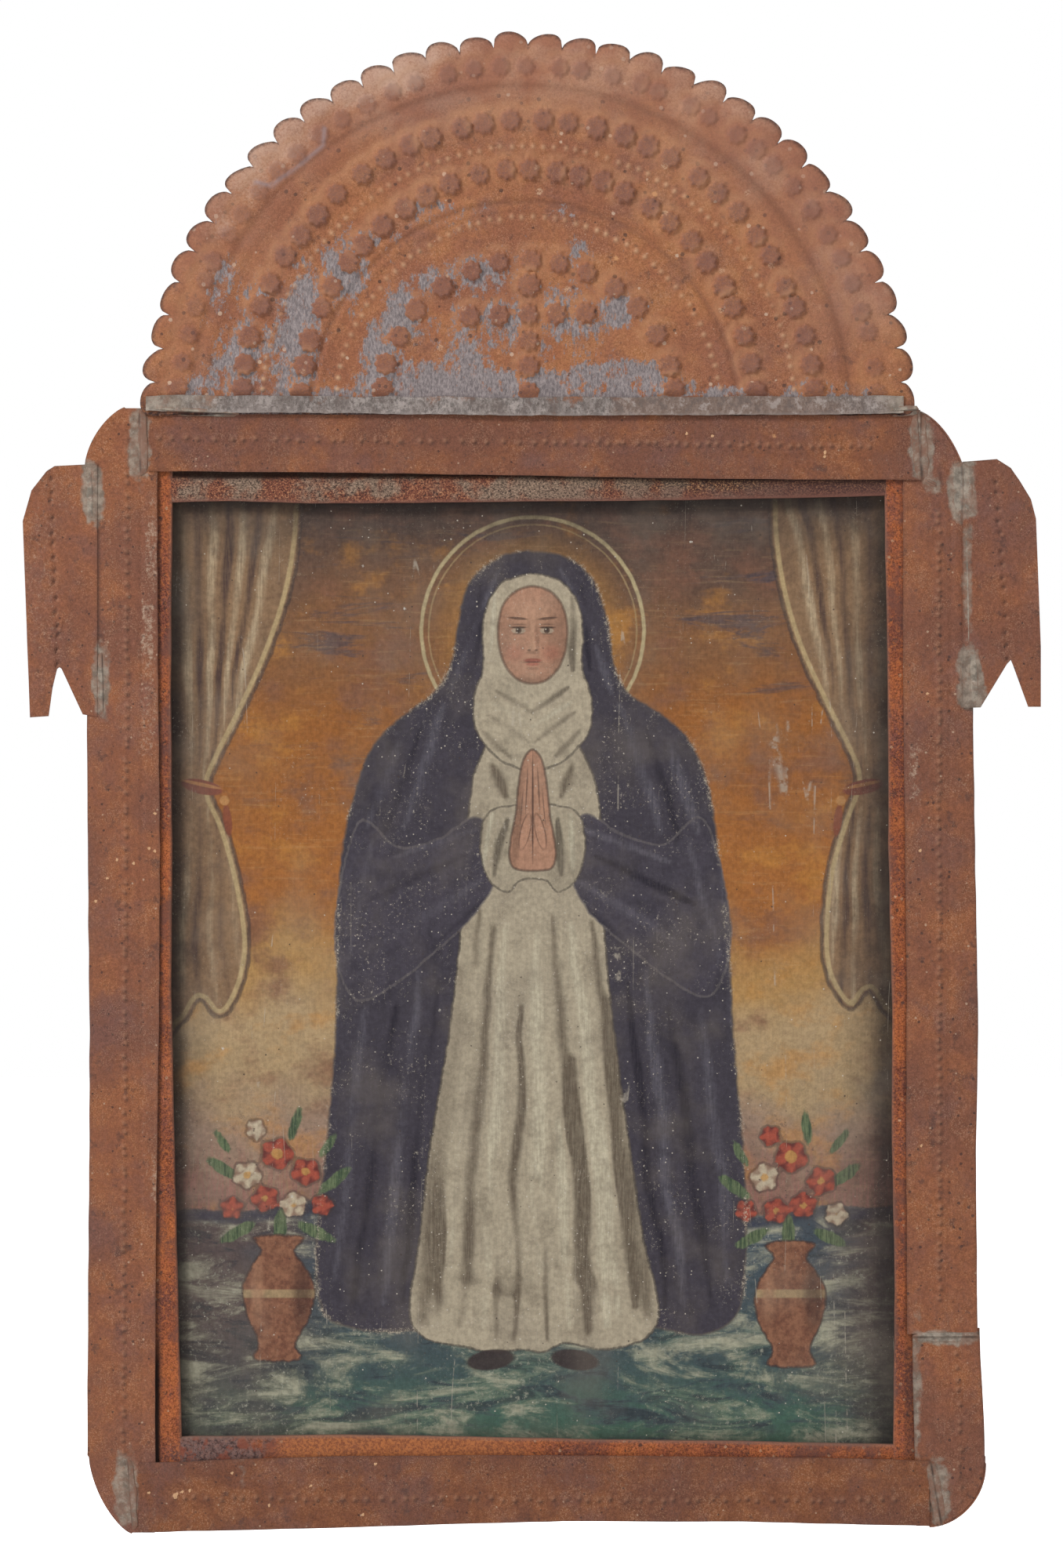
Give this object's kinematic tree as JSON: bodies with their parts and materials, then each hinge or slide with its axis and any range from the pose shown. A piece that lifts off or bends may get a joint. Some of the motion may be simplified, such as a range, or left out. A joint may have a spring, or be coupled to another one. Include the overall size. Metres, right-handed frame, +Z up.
{
  "type": "framed retablo painting",
  "caption": "Oil painting on tinplate in a soldered tinwork frame with a punched half-round crest, notched side wings, bent retaining tabs and a hanging ring.",
  "frame": {"origin": "the middle of the painted panel, on the wall plane that the retaining tabs touch", "axes": "+Z up, +X to the right as the picture is looked at, +Y into the wall, so the picture faces -Y"},
  "size_m": [0.3375, 0.0094, 0.4979],
  "materials": {
    "oil_paint": "old oil paint on tinplate, darkened, speckled and scratched",
    "frame_rust": "tinplate gone to an even brown rust, matte with a soft sheen",
    "liner_rust": "rough orange rust",
    "crest_rust": "embossed tinplate, orange-brown rust with patches of bare grey tin",
    "aged_tin": "dull grey tinplate with rust specks",
    "solder": "smeared soft solder, dull grey brown",
    "iron_wire": "dark rusted wire"
  },
  "bodies": {
    "frame": {"crest": "crest_rust", "crest_foot_strip": "aged_tin", "hanger_lug": "aged_tin", "liner_bottom": "liner_rust", "liner_left": "liner_rust", "liner_right": "liner_rust", "liner_top": "liner_rust", "painted_panel": "oil_paint", "rail_bottom": "frame_rust", "rail_top": "frame_rust", "solder_corner_bottom_left": "solder", "solder_corner_bottom_right": "solder", "solder_corner_top_left": "solder", "solder_corner_top_right": "solder", "solder_crest_left": "solder", "solder_crest_right": "solder", "solder_liner_bottom_1": "solder", "solder_liner_bottom_2": "solder", "solder_liner_left_1": "solder", "solder_liner_left_2": "solder", "solder_liner_left_3": "solder", "solder_liner_left_4": "solder", "solder_liner_right_1": "solder", "solder_liner_right_2": "solder", "solder_liner_right_3": "solder", "solder_liner_right_4": "solder", "solder_liner_top_1": "solder", "solder_liner_top_2": "solder", "solder_lug": "solder", "solder_splice": "solder", "solder_strap_left": "solder", "solder_strap_middle": "solder", "solder_strap_right": "solder", "solder_wing_left_bottom": "solder", "solder_wing_left_top": "solder", "solder_wing_right_bottom": "solder", "solder_wing_right_seam": "solder", "solder_wing_right_top": "solder", "stile_left": "frame_rust", "stile_right": "frame_rust", "stile_right_splice": "frame_rust", "strap_left": "aged_tin", "strap_middle": "aged_tin", "strap_right": "aged_tin", "tab_bottom_1": "aged_tin", "tab_bottom_2": "aged_tin", "tab_left_1": "aged_tin", "tab_left_2": "aged_tin", "tab_left_3": "aged_tin", "tab_right_1": "aged_tin", "tab_right_2": "aged_tin", "tab_right_3": "aged_tin", "tab_top_1": "aged_tin", "tab_top_2": "aged_tin", "wing_left": "frame_rust", "wing_right": "frame_rust"},
    "ring": {"hanging_ring": "iron_wire"}
  },
  "joints": [
    {"name": "ring_swing", "type": "hinge", "parent": "frame", "child": "ring", "pos_m": [0, -0.0043, 0.2066], "axis": [1, 0, 0], "range_deg": [0, 175]}
  ]
}
